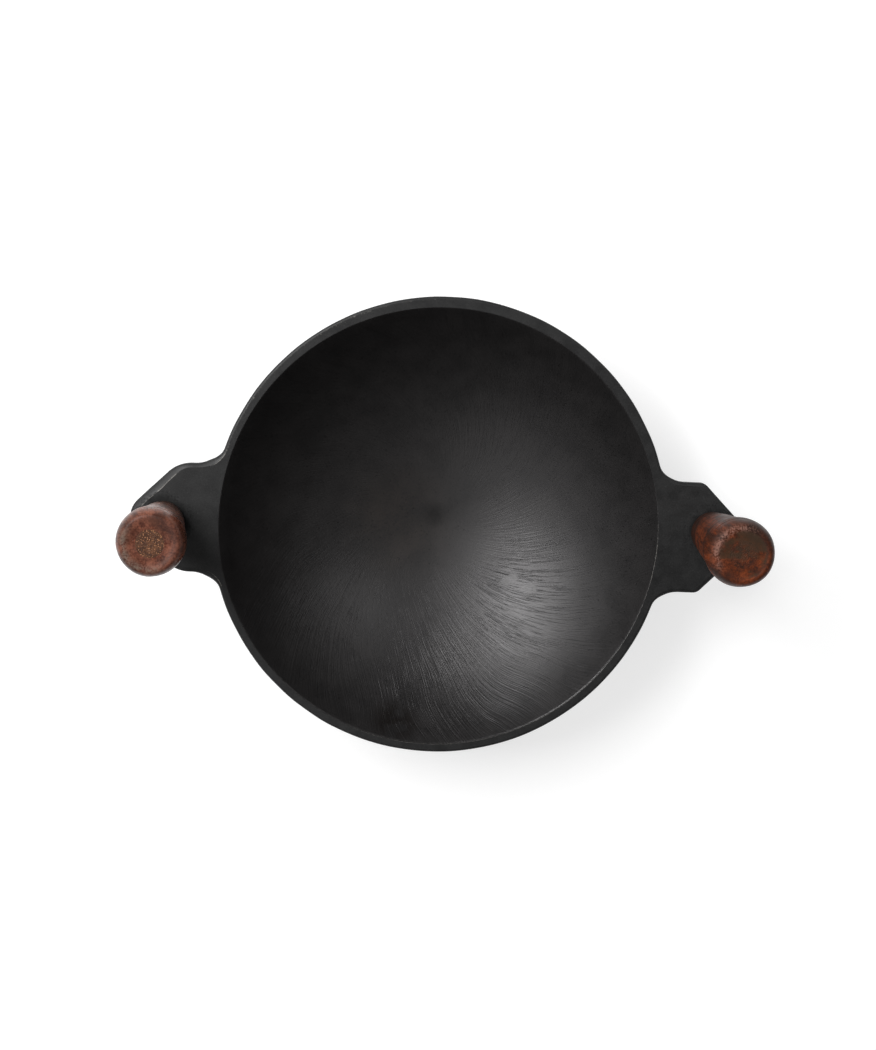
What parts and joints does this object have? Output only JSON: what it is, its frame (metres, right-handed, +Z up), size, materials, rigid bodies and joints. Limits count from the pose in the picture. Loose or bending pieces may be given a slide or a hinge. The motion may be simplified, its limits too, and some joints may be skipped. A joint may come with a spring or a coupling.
{
  "type": "appam pan",
  "caption": "Round-bottomed cast-iron pan with a flat rim, pointed side lugs and upright turned wooden handles, for cooking appam and frying on a stove.",
  "frame": {"origin": "centre of the foot's flat underside, on the surface the pan stands on", "axes": "+Z up, +X through the right-hand lug and handle, +Y away from the user"},
  "size_m": [0.3426, 0.254, 0.15],
  "materials": {
    "seasoned_iron": "black seasoned, ground smooth inside, sand-cast outside",
    "turned_wood": "turned and varnished, reddish brown",
    "wood_filler": "granular filler, matt",
    "zinced_steel": "zinc plated"
  },
  "bodies": {
    "root": {"pan_casting": "seasoned_iron", "left_grip": "turned_wood", "left_bolt": "zinced_steel", "left_head_washer": "zinced_steel", "left_end_plug": "wood_filler", "left_lug_washer": "zinced_steel", "left_nut": "zinced_steel", "right_grip": "turned_wood", "right_bolt": "zinced_steel", "right_head_washer": "zinced_steel", "right_end_plug": "wood_filler", "right_lug_washer": "zinced_steel", "right_nut": "zinced_steel"}
  },
  "joints": []
}
